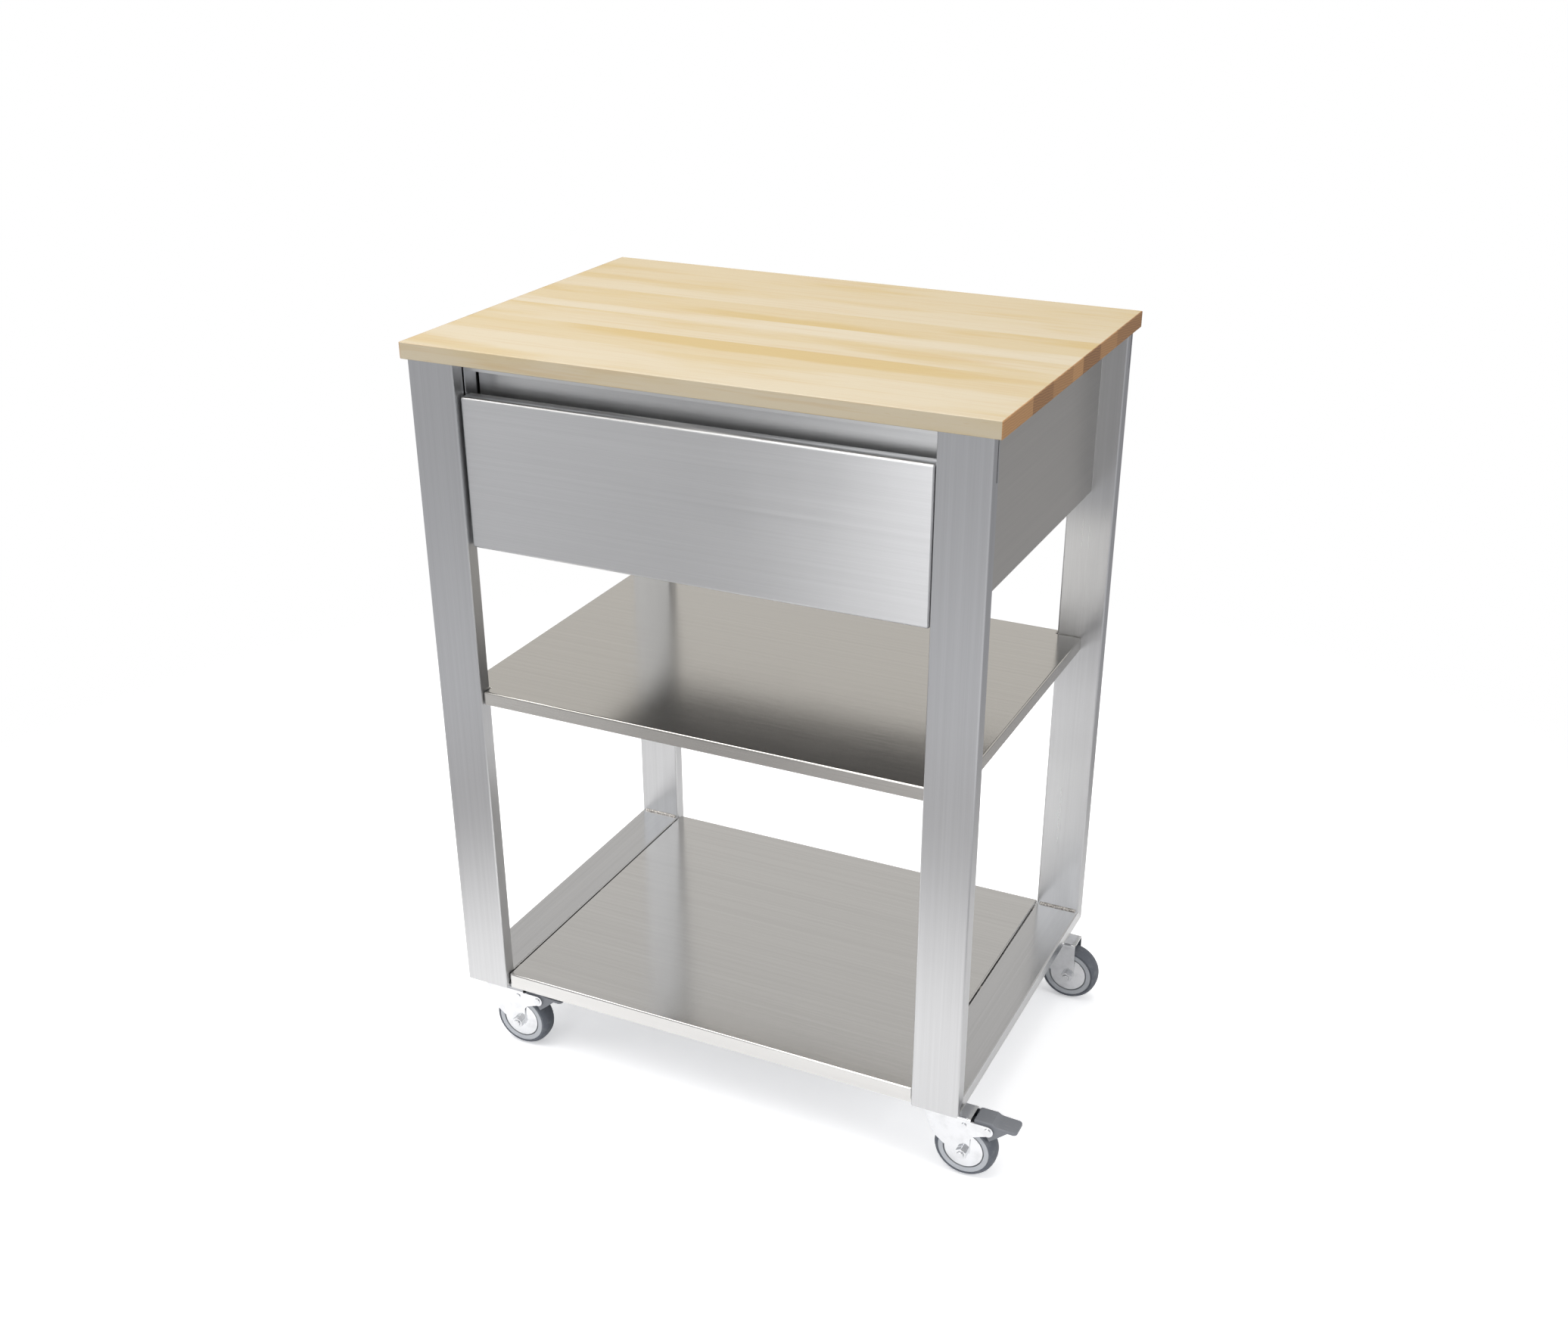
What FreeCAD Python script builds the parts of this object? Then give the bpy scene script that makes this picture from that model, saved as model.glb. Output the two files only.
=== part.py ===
import FreeCAD, Part
import math
import os

# Kitchen island cart: a wooden worktop on two welded side frames of flat tube, with a drawer,
# two sheet shelves and four swivel casters, the front two with brakes.
# Millimetres. +X right, +Y back, +Z up. The origin is on the floor under the middle of the frame.

# Overall sizes
HEIGHT = 900.0
FRAME_WIDTH = 654.0
FRAME_DEPTH = 465.0

# Worktop
WORKTOP_THICKNESS = 18.0
WORKTOP_SIDE_OVERHANG = 8.0
WORKTOP_FRONT_OVERHANG = 1.5
WORKTOP_EDGE_RADIUS = 1.0

# Side frames, mitred and welded from one size of flat tube
TUBE_WIDTH = 56.5
TUBE_THICKNESS = 18.5
TUBE_WALL = 1.5
TUBE_EDGE_RADIUS = 2.0
SLOT_WIDTH = 2.4
SLOT_LENGTH = 46.0
SLOT_SHARE = 0.68

# Sheet parts
SHEET = 1.2
BEND_RADIUS = 2.2
PANEL_HEIGHT = 192.5
PANEL_INSET = 28.0
PANEL_FLANGE = 15.0
BACK_PANEL_SETBACK = 6.0
APRON_LIP = 9.5
APRON_END_GAP = 2.0
MIDDLE_SHELF_HEIGHT = 504.5
MIDDLE_SHELF_LIP = 15.8
MIDDLE_SHELF_SIDE_INSET = 26.2
MIDDLE_SHELF_FRONT_INSET = 4.8
MIDDLE_SHELF_BACK_INSET = 6.0
MIDDLE_SHELF_LEG_GAP = 1.0
BOTTOM_SHELF_LIP = 19.3
BOTTOM_SHELF_FRONT_INSET = 5.8
BOTTOM_SHELF_BACK_INSET = 11.3
BOTTOM_SHELF_GAP = 1.5

# Drawer
DRAWER_FRONT_SETBACK = 5.5
DRAWER_FRONT_GAP = 2.6
DRAWER_FRONT_HEIGHT = 168.0
DRAWER_FRONT_DEPTH = 18.0
DRAWER_FRONT_RADIUS = 3.0
FINGER_GAP = 34.3
FINGER_SPACE = 18.0
DRAWER_SHEET = 1.0
DRAWER_BOX_DROP = 13.0
DRAWER_BOX_RISE = 10.0
DRAWER_BACK_GAP = 18.0
DRAWER_HEM = 7.5
BOX_UNDER_APRON = 3.3

# Drawer runners
RUNNER_THICKNESS = 12.7
RUNNER_HEIGHT = 45.8
RUNNER_METAL = 1.2
RUNNER_STEP = 2.5
RUNNER_WEB_GAP = 3.0
RUNNER_RISE = 55.0
RUNNER_LEG_GAP = 1.9
RUNNER_BEHIND_FRONT = 3.0
RUNNER_BEHIND_BOX = 0.5
SUPPORT_HEIGHT = 40.0

# Screws that hold the worktop
SCREW_RADIUS = 2.0
SCREW_GRIP = 12.0
SCREW_HEAD_RADIUS = 4.0
SCREW_HEAD_HEIGHT = 2.4

# Casters
WHEEL_RADIUS = 37.5
WHEEL_WIDTH = 24.0
TREAD_DEPTH = 6.5
TREAD_SHOULDER = 4.5
RIM_FACE = 6.1
GROOVE_GAP = 0.6
WEB_RECESS = 3.5
HUB_RADIUS = 9.5
HUB_RECESS = 1.1
CASTER_INSET = 35.5
CASTER_TRAIL = 29.0
FORK_SHEET = 2.0
FORK_SIDE_GAP = 1.0
FORK_TOP_GAP = 7.8
FORK_NOSE = 16.5
FORK_TAIL_REACH = 7.8
FORK_BEND = 3.0
FORK_FOOT_RADIUS = 8.3
RACE_RADIUS = 18.5
RACE_HEIGHT = 2.8
RACE_GAP = 0.4
HEAD_FLANGE_RADIUS = 20.0
HEAD_FLANGE_HEIGHT = 3.0
HEAD_HEIGHT = 11.0
STEM_RADIUS = 5.0
STEM_NUT_FLATS = 17.0
STEM_NUT_HEIGHT = 8.0
KINGPIN_HEAD_RADIUS = 8.0
KINGPIN_HEAD_HEIGHT = 2.2
AXLE_RADIUS = 4.0
AXLE_FLATS = 13.0
AXLE_HEAD_HEIGHT = 5.3
AXLE_NUT_HEIGHT = 6.5
AXLE_END = 1.8
GUARD_SHEET = 0.8
GUARD_FLAT_RADIUS = 11.0
GUARD_BOSS_RADIUS = 7.0
RUNNING_CLEARANCE = 0.06
END_CLEARANCE = 0.3

# Brakes
PEDAL_PIVOT_ANGLE = 52.86
PEDAL_PIVOT_GAP = 9.04
BRAKE_GAP = 0.56
PEDAL_PIN_RADIUS = 2.5
PEDAL_SIDE_GAP = 0.4
PEDAL_LENGTH = 50.4
PEDAL_TIP_RADIUS = 4.5
ARM_END_RADIUS = 6.9
PIN_HEAD_RADIUS = 4.0
PIN_HEAD_HEIGHT = 1.2
RIVET_RADIUS = 2.0
RIVET_HEAD_RADIUS = 3.3

# Places that follow from the sizes
FORK_INSIDE = WHEEL_WIDTH / 2 + FORK_SIDE_GAP
FORK_OUTSIDE = FORK_INSIDE + FORK_SHEET
FORK_TOP_INSIDE = 2 * WHEEL_RADIUS + FORK_TOP_GAP
FORK_TOP = FORK_TOP_INSIDE + FORK_SHEET
FORK_TAIL = CASTER_TRAIL + FORK_TAIL_REACH
CASTER_HEIGHT = FORK_TOP + RACE_HEIGHT + RACE_GAP + HEAD_HEIGHT
RIM_RADIUS = WHEEL_RADIUS - TREAD_DEPTH
GROOVE_RADIUS = RIM_RADIUS - RIM_FACE
X_OUT = FRAME_WIDTH / 2
X_IN = X_OUT - TUBE_WIDTH
X_MID = (X_OUT + X_IN) / 2
Y_FRONT = -FRAME_DEPTH / 2
Y_BACK = FRAME_DEPTH / 2
Y_BEHIND_LEG = Y_FRONT + TUBE_THICKNESS
Z_TOP = HEIGHT - WORKTOP_THICKNESS
Z_RAIL_TOP = CASTER_HEIGHT + TUBE_THICKNESS
PANEL_X = X_OUT - PANEL_INSET
PANEL_BOTTOM = Z_TOP - PANEL_HEIGHT
BACK_PANEL_Y = Y_BACK - BACK_PANEL_SETBACK
DRAWER_X = X_IN - DRAWER_FRONT_GAP
DRAWER_Y = Y_FRONT + DRAWER_FRONT_SETBACK
DRAWER_TOP = Z_TOP - FINGER_GAP
DRAWER_BOTTOM = DRAWER_TOP - DRAWER_FRONT_HEIGHT
RUNNER_X = X_IN - RUNNER_LEG_GAP
APRON_X = RUNNER_X - APRON_END_GAP
APRON_Y = DRAWER_Y + DRAWER_FRONT_DEPTH + FINGER_SPACE
APRON_FRONT = Y_BEHIND_LEG + END_CLEARANCE
BOX_X = RUNNER_X - RUNNER_THICKNESS
BOX_FRONT = DRAWER_Y + SHEET
BOX_BACK = BACK_PANEL_Y - PANEL_FLANGE - DRAWER_BACK_GAP
BOX_BOTTOM = DRAWER_BOTTOM + DRAWER_BOX_RISE
BOX_TOP = DRAWER_TOP - DRAWER_BOX_DROP
APRON_BOTTOM = BOX_TOP + BOX_UNDER_APRON
RUNNER_Z = BOX_BOTTOM + RUNNER_RISE
RUNNER_FRONT = DRAWER_Y + DRAWER_FRONT_DEPTH + RUNNER_BEHIND_FRONT
RUNNER_BACK = BOX_BACK + RUNNER_BEHIND_BOX
CASTER_Y = Y_BACK - CASTER_INSET


def beside_tyre(angle, gap):
    """A place in the caster's side view, at an angle from level and a gap off the tyre."""
    reach = WHEEL_RADIUS + gap
    turn = math.radians(angle)
    return CASTER_TRAIL + reach * math.cos(turn), WHEEL_RADIUS + reach * math.sin(turn)


PEDAL_PIVOT_X, PEDAL_PIVOT_Z = beside_tyre(PEDAL_PIVOT_ANGLE, PEDAL_PIVOT_GAP)


def vec(x, y, z):
    return FreeCAD.Vector(x, y, z)


def block(x0, x1, y0, y1, z0, z1):
    return Part.makeBox(x1 - x0, y1 - y0, z1 - z0, vec(x0, y0, z0))


def rod(radius, start, end):
    start = vec(*start)
    line = vec(*end) - start
    return Part.makeCylinder(radius, line.Length, start, line)


def joined(shapes):
    whole = shapes[0].multiFuse(shapes[1:])
    return whole.removeSplitter()


def mirrored(shape):
    return shape.mirror(vec(0, 0, 0), vec(1, 0, 0))


def moved(shape, x, y, z):
    copy = shape.copy()
    copy.translate(vec(x, y, z))
    return copy


def straight_along(edge, axis):
    if edge.Curve.TypeId != "Part::GeomLine":
        return False
    ends = [vertex.Point for vertex in edge.Vertexes]
    return abs((ends[1] - ends[0]).normalize().dot(axis)) > 0.999


def rounded(shape, radius, wanted):
    edges = [edge for edge in shape.Edges if wanted(edge)]
    return shape.makeFillet(radius, edges)


def plate(points, low, high):
    """A flat outline in X and Z, given depth along Y."""
    corners = [vec(x, low, z) for x, z in points]
    wire = Part.makePolygon(corners + [corners[0]])
    return Part.Face(wire).extrude(vec(0, high - low, 0))


def hexagon(flats, start, end):
    """A hexagonal prism from start to end, of a given width across its flats."""
    start = vec(*start)
    line = vec(*end) - start
    radius = flats / math.sqrt(3)
    corners = []
    for step in range(6):
        angle = math.radians(60 * step + 30)
        corners.append(vec(radius * math.cos(angle), radius * math.sin(angle), 0))
    prism = Part.Face(Part.makePolygon(corners + [corners[0]])).extrude(vec(0, 0, line.Length))
    prism.Placement = FreeCAD.Placement(start, FreeCAD.Rotation(vec(0, 0, 1), line))
    return prism


def tray(length, width, depth, sheet, bend):
    """A folded sheet tray, its closed face at the top of its depth and its open side down."""
    def folded(edge):
        return edge.CenterOfMass.z > 0.1

    outside = rounded(block(0, length, 0, width, 0, depth), bend, folded)
    inside = block(sheet, length - sheet, sheet, width - sheet, -depth, depth - sheet)
    inner_bend = max(bend - sheet, 0.3)
    inside = rounded(inside, inner_bend, lambda edge: edge.CenterOfMass.z > -0.9 * depth)
    return outside.cut(inside)


def box_tray(x0, x1, y0, y1, z0, z1, closed, sheet, bend):
    """A tray that fills a box, its closed face on the side that closed names."""
    if closed == "+Z":
        shape = tray(x1 - x0, y1 - y0, z1 - z0, sheet, bend)
        return moved(shape, x0, y0, z0)
    if closed == "+X":
        shape = tray(z1 - z0, y1 - y0, x1 - x0, sheet, bend)
        turn = FreeCAD.Rotation(vec(0, 1, 0), 90)
        shape.Placement = FreeCAD.Placement(vec(x0, y0, z1), turn)
        return shape
    if closed == "+Y":
        shape = tray(x1 - x0, z1 - z0, y1 - y0, sheet, bend)
        turn = FreeCAD.Rotation(vec(1, 0, 0), -90)
        shape.Placement = FreeCAD.Placement(vec(x0, y0, z1), turn)
        return shape
    shape = tray(x1 - x0, z1 - z0, y1 - y0, sheet, bend)
    turn = FreeCAD.Rotation(vec(1, 0, 0), 90)
    shape.Placement = FreeCAD.Placement(vec(x0, y1, z0), turn)
    return shape


def flat_tube(x0, x1, y0, y1, z0, z1, axis):
    """Flat tube with rounded long edges, open at both ends along the axis."""
    def long_edge(edge):
        return straight_along(edge, axis)

    outside = rounded(block(x0, x1, y0, y1, z0, z1), TUBE_EDGE_RADIUS, long_edge)
    gap = vec(TUBE_WALL, TUBE_WALL, TUBE_WALL) - axis * (TUBE_WALL + 5)
    inside = block(x0 + gap.x, x1 - gap.x, y0 + gap.y, y1 - gap.y, z0 + gap.z, z1 - gap.z)
    inner_radius = max(TUBE_EDGE_RADIUS - TUBE_WALL, 0.3)
    return outside.cut(rounded(inside, inner_radius, long_edge))


def mitre_wedge(above):
    """The space above or below the slanted mitre plane at the front bottom corner."""
    reach = 3 * TUBE_THICKNESS
    low = (Y_FRONT - reach, CASTER_HEIGHT - reach)
    high = (Y_FRONT + reach, CASTER_HEIGHT + reach)
    corner = (low[0], high[1]) if above else (high[0], low[1])
    points = [vec(X_IN - 5, y, z) for y, z in (low, high, corner)]
    face = Part.Face(Part.makePolygon(points + [points[0]]))
    return face.extrude(vec(TUBE_WIDTH + 10, 0, 0))


def flipped_depth(shape):
    return shape.mirror(vec(0, 0, 0), vec(0, 1, 0))


def slot_cutter(front_face_y):
    """The accessory slot in a leg's narrow outer face, open at the leg's top."""
    y = front_face_y + SLOT_SHARE * TUBE_THICKNESS
    half = SLOT_WIDTH / 2
    low = Z_TOP - SLOT_LENGTH + half
    x0 = X_OUT - TUBE_WALL - 0.5
    slot = block(x0, X_OUT + 1, y - half, y + half, low, Z_TOP + 1)
    return slot.fuse(rod(half, (x0, y, low), (X_OUT + 1, y, low)))


def right_leg(rear):
    """A right leg: tube from the mitred bottom corner up to the worktop."""
    z_axis = vec(0, 0, 1)
    tube = flat_tube(X_IN, X_OUT, Y_FRONT, Y_BEHIND_LEG, CASTER_HEIGHT, Z_TOP, z_axis)
    tube = tube.cut(mitre_wedge(False))
    if rear:
        return flipped_depth(tube).cut(slot_cutter(Y_BACK - TUBE_THICKNESS))
    return tube.cut(slot_cutter(Y_FRONT))


def right_bottom_rail():
    """The bottom tube of the right side frame, mitred at both ends, with two stem holes."""
    tube = flat_tube(X_IN, X_OUT, Y_FRONT, Y_BACK, CASTER_HEIGHT, Z_RAIL_TOP, vec(0, 1, 0))
    wedge = mitre_wedge(True)
    tube = tube.cut(wedge).cut(flipped_depth(wedge))
    for y in (-CASTER_Y, CASTER_Y):
        low = CASTER_HEIGHT - 1
        high = CASTER_HEIGHT + TUBE_WALL + 1
        tube = tube.cut(rod(STEM_RADIUS, (X_MID, y, low), (X_MID, y, high)))
    return tube


def corner_bead():
    """The rippled weld bead along the inside corner of the front leg and the bottom rail."""
    ripple = 3.2
    radius = 2.6
    count = int((TUBE_WIDTH - 2 * TUBE_EDGE_RADIUS - radius) / ripple)
    start = X_MID - ripple * (count - 1) / 2
    drops = []
    for index in range(count):
        centre = vec(start + ripple * index, Y_BEHIND_LEG, Z_RAIL_TOP)
        drops.append(Part.makeSphere(radius, centre))
    bead = joined(drops)
    leg_space = block(X_IN - 5, X_OUT + 5, Y_FRONT, Y_BEHIND_LEG, CASTER_HEIGHT, Z_RAIL_TOP + 50)
    rail_space = block(X_IN - 5, X_OUT + 5, Y_FRONT, Y_BEHIND_LEG + 50, CASTER_HEIGHT, Z_RAIL_TOP)
    return bead.cut(leg_space).cut(rail_space)


def shelf_tack(y):
    """A short weld across the gap between the bottom shelf and the rail."""
    half = 3.5
    low = Z_RAIL_TOP - 4.5
    return block(X_IN - BOTTOM_SHELF_GAP, X_IN, y - half, y + half, low, low + 1.8)


def weld_beads():
    bead = corner_bead()
    tack_y = Y_BACK - TUBE_THICKNESS - 12
    right = [bead, flipped_depth(bead), shelf_tack(-tack_y), shelf_tack(0), shelf_tack(tack_y)]
    return Part.makeCompound(right + [mirrored(shape) for shape in right])


def screw_places():
    """The plan places of the screws, each through a flange under the worktop."""
    side_x = PANEL_X - PANEL_FLANGE / 2
    side_y = FRAME_DEPTH * 0.26
    rail_x = FRAME_WIDTH * 0.28
    rail_y = (APRON_FRONT + SHEET + APRON_Y) / 2
    back_x = FRAME_WIDTH * 0.22
    back_y = BACK_PANEL_Y - PANEL_FLANGE / 2
    places = [(0, rail_y)]
    for side in (-1, 1):
        places.append((side * rail_x, rail_y))
        places.append((side * back_x, back_y))
        places.append((side * side_x, -side_y))
        places.append((side * side_x, side_y))
    return places


def drilled_for_screws(shape):
    for x, y in screw_places():
        low = Z_TOP - SHEET - SCREW_HEAD_HEIGHT - 1
        shape = shape.cut(rod(SCREW_RADIUS, (x, y, low), (x, y, Z_TOP + SCREW_GRIP)))
    return shape


def worktop_screws():
    screws = []
    for x, y in screw_places():
        seat = Z_TOP - SHEET
        head = rod(SCREW_HEAD_RADIUS, (x, y, seat - SCREW_HEAD_HEIGHT), (x, y, seat))
        head = rounded(head, 1.0, lambda edge: edge.CenterOfMass.z < seat - 1)
        shank = rod(SCREW_RADIUS, (x, y, seat - 0.5), (x, y, Z_TOP + SCREW_GRIP))
        screws.append(joined([head, shank]))
    return Part.makeCompound(screws)


def worktop():
    x = X_OUT + WORKTOP_SIDE_OVERHANG
    y = Y_BACK + WORKTOP_FRONT_OVERHANG
    board = block(-x, x, -y, y, Z_TOP, HEIGHT)
    board = rounded(board, WORKTOP_EDGE_RADIUS, lambda edge: True)
    return drilled_for_screws(board)


def right_side_panel():
    """A folded panel between the two right legs, hiding the drawer from the side."""
    x0 = PANEL_X - PANEL_FLANGE
    y = -Y_BEHIND_LEG
    panel = box_tray(x0, PANEL_X, -y, y, PANEL_BOTTOM, Z_TOP, "+X", SHEET, BEND_RADIUS)
    return drilled_for_screws(panel)


def back_panel():
    """A folded panel between the rear legs, behind the drawer."""
    y0 = BACK_PANEL_Y - PANEL_FLANGE
    panel = box_tray(-X_IN, X_IN, y0, BACK_PANEL_Y, PANEL_BOTTOM, Z_TOP, "+Y", SHEET, BEND_RADIUS)
    return drilled_for_screws(panel)


def front_apron():
    """A plate behind the finger gap, its top folded forward under the worktop and down in a lip."""
    x = APRON_X
    y1 = APRON_Y + SHEET

    def top_bend(edge):
        place = edge.CenterOfMass
        outside = place.y > y1 - 0.1 or place.y < APRON_FRONT + 0.1
        return straight_along(edge, vec(1, 0, 0)) and outside and place.z > Z_TOP - 0.1

    solid = rounded(block(-x, x, APRON_FRONT, y1, APRON_BOTTOM, Z_TOP), BEND_RADIUS, top_bend)
    low = APRON_BOTTOM - 1
    below_lip = block(-x - 1, x + 1, APRON_FRONT - 1, APRON_Y, low, Z_TOP - APRON_LIP)
    behind_lip = block(-x - 1, x + 1, APRON_FRONT + SHEET, APRON_Y, low, Z_TOP - SHEET)
    return drilled_for_screws(solid.cut(below_lip).cut(behind_lip))


def shelf_outline(inset):
    """The middle shelf's outline, notched round the four legs, drawn in by the inset."""
    inner = X_IN - MIDDLE_SHELF_LEG_GAP - inset
    outer = X_OUT - MIDDLE_SHELF_SIDE_INSET - inset
    front = Y_FRONT + MIDDLE_SHELF_FRONT_INSET + inset
    back = Y_BACK - MIDDLE_SHELF_BACK_INSET - inset
    step = Y_BEHIND_LEG + inset
    right = [(inner, front), (inner, step), (outer, step), (outer, -step), (inner, -step), (inner, back)]
    left = [(-x, y) for x, y in reversed(right)]
    return right + left


def shelf_prism(inset, low, high):
    corners = [vec(x, y, low) for x, y in shelf_outline(inset)]
    face = Part.Face(Part.makePolygon(corners + [corners[0]]))
    return face.extrude(vec(0, 0, high - low))


def middle_shelf():
    """A folded sheet shelf with lips down all round, notched round the legs."""
    low = MIDDLE_SHELF_HEIGHT - MIDDLE_SHELF_LIP
    solid = shelf_prism(0, low, MIDDLE_SHELF_HEIGHT)

    def top_edge(edge):
        return edge.CenterOfMass.z > MIDDLE_SHELF_HEIGHT - 0.1

    solid = rounded(solid, BEND_RADIUS, top_edge)
    return solid.cut(shelf_prism(SHEET, low - 1, MIDDLE_SHELF_HEIGHT - SHEET))


def bottom_shelf():
    """A folded sheet shelf between the side frames, flush with the bottom rails."""
    x = X_IN - BOTTOM_SHELF_GAP
    y0 = Y_FRONT + BOTTOM_SHELF_FRONT_INSET
    y1 = Y_BACK - BOTTOM_SHELF_BACK_INSET
    low = Z_RAIL_TOP - BOTTOM_SHELF_LIP
    return box_tray(-x, x, y0, y1, low, Z_RAIL_TOP, "+Z", SHEET, BEND_RADIUS)


def channel(x_web, x_lips, half_height, metal, y0, y1, z):
    """A channel along Y, its web at x_web and its two lips reaching to x_lips."""
    low = min(x_web, x_lips)
    high = max(x_web, x_lips)
    solid = block(low, high, y0, y1, z - half_height, z + half_height)
    inner = half_height - metal
    if x_web > x_lips:
        return solid.cut(block(low - 1, high - metal, y0 - 1, y1 + 1, z - inner, z + inner))
    return solid.cut(block(low + metal, high + 1, y0 - 1, y1 + 1, z - inner, z + inner))


def right_runner_support():
    """A tall plate beside the drawer that carries the runner, with lips out to the side panel."""
    low = RUNNER_Z - SUPPORT_HEIGHT / 2
    lips_front = Y_BEHIND_LEG + SHEET + BEND_RADIUS
    under_top = PANEL_X - PANEL_FLANGE
    web = block(RUNNER_X, RUNNER_X + SHEET, APRON_FRONT, RUNNER_BACK, low, Z_TOP)
    foot = block(RUNNER_X, PANEL_X - SHEET, lips_front, RUNNER_BACK, low, low + SHEET)
    head = block(RUNNER_X, under_top, lips_front, RUNNER_BACK, Z_TOP - SHEET, Z_TOP)
    return joined([web, foot, head])


def right_runner_outer():
    """The fixed member of the right runner."""
    lips = BOX_X + RUNNER_WEB_GAP
    half = RUNNER_HEIGHT / 2
    return channel(RUNNER_X, lips, half, RUNNER_METAL, RUNNER_FRONT, RUNNER_BACK, RUNNER_Z)


def right_runner_middle():
    """The middle member, which travels half as far as the drawer."""
    web = RUNNER_X - RUNNER_METAL - RUNNER_WEB_GAP
    lips = BOX_X + RUNNER_METAL + 0.8
    half = RUNNER_HEIGHT / 2 - RUNNER_STEP
    return channel(web, lips, half, RUNNER_METAL, RUNNER_FRONT, RUNNER_BACK, RUNNER_Z)


def right_runner_inner():
    """The drawer's member of the runner, on the drawer's side."""
    lips = RUNNER_X - 2 * RUNNER_METAL - RUNNER_WEB_GAP - 1.4
    half = RUNNER_HEIGHT / 2 - 2 * RUNNER_STEP - 0.8
    return channel(BOX_X, lips, half, RUNNER_METAL, RUNNER_FRONT, RUNNER_BACK, RUNNER_Z)


def drawer_front():
    """The drawer's front, a tray folded back all round."""
    y1 = DRAWER_Y + DRAWER_FRONT_DEPTH
    radius = DRAWER_FRONT_RADIUS
    return box_tray(-DRAWER_X, DRAWER_X, DRAWER_Y, y1, DRAWER_BOTTOM, DRAWER_TOP, "-Y", SHEET, radius)


def right_drawer_side():
    """The right wall of the drawer's box, its top folded outwards."""
    wall = block(BOX_X - DRAWER_SHEET, BOX_X, BOX_FRONT, BOX_BACK, BOX_BOTTOM, BOX_TOP)
    hem_x = BOX_X + DRAWER_HEM
    hem = block(BOX_X - DRAWER_SHEET, hem_x, BOX_FRONT, BOX_BACK, BOX_TOP - DRAWER_SHEET, BOX_TOP)
    return joined([wall, hem])


def drawer_bottom():
    x = BOX_X - DRAWER_SHEET
    y1 = BOX_BACK - DRAWER_SHEET
    return block(-x, x, BOX_FRONT, y1, BOX_BOTTOM, BOX_BOTTOM + DRAWER_SHEET)


def drawer_back():
    x = BOX_X - DRAWER_SHEET
    return block(-x, x, BOX_BACK - DRAWER_SHEET, BOX_BACK, BOX_BOTTOM, BOX_TOP)


def caster_head():
    """The fixed top of a caster: race, flange, threaded stem above and riveted pin below."""
    race_low = FORK_TOP + RACE_HEIGHT + RACE_GAP
    flange_low = CASTER_HEIGHT - HEAD_FLANGE_HEIGHT
    race = rod(RACE_RADIUS - 0.5, (0, 0, race_low), (0, 0, flange_low - 3))
    neck = rod(RACE_RADIUS - 4, (0, 0, race_low), (0, 0, flange_low))
    flange = rod(HEAD_FLANGE_RADIUS, (0, 0, flange_low), (0, 0, CASTER_HEIGHT))
    flange = rounded(flange, 1.0, lambda edge: edge.CenterOfMass.z < flange_low + 0.1)
    stem_top = CASTER_HEIGHT + TUBE_WALL + STEM_NUT_HEIGHT + 1.5
    rivet_top = FORK_TOP_INSIDE - END_CLEARANCE
    stem = rod(STEM_RADIUS, (0, 0, rivet_top - 1), (0, 0, stem_top))
    rivet = rod(KINGPIN_HEAD_RADIUS, (0, 0, rivet_top - KINGPIN_HEAD_HEIGHT), (0, 0, rivet_top))
    rivet = rounded(rivet, 0.8, lambda edge: edge.CenterOfMass.z < rivet_top - 1)
    return joined([race, neck, flange, stem, rivet])


def stem_nut():
    low = CASTER_HEIGHT + TUBE_WALL
    nut = hexagon(STEM_NUT_FLATS, (0, 0, low), (0, 0, low + STEM_NUT_HEIGHT))
    return nut.cut(rod(STEM_RADIUS, (0, 0, low - 1), (0, 0, low + STEM_NUT_HEIGHT + 1)))


def across(radius, x, z, y0, y1):
    """A rod along Y through a place of the caster's side view."""
    return rod(radius, (x, y0, z), (x, y1, z))


def arm_plate(low, high):
    """One of the two arms that carry the brake pedal, as thick as the fork's sheet."""
    end_low = PEDAL_PIVOT_Z - ARM_END_RADIUS
    outline = [
        (FORK_TAIL - 8, FORK_TOP - FORK_BEND - 0.3),
        (PEDAL_PIVOT_X + 0.5, PEDAL_PIVOT_Z + ARM_END_RADIUS - 0.02),
        (PEDAL_PIVOT_X, PEDAL_PIVOT_Z),
        (PEDAL_PIVOT_X - 0.8, end_low + 0.05),
        (PEDAL_PIVOT_X - 9, end_low - 3),
        (FORK_TAIL + 4.2, end_low - 6),
        (FORK_TAIL + 0.8, end_low - 10.5),
        (FORK_TAIL - 8, end_low - 18),
    ]
    end = across(ARM_END_RADIUS, PEDAL_PIVOT_X, PEDAL_PIVOT_Z, low, high)
    return joined([plate(outline, low, high), end])


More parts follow.
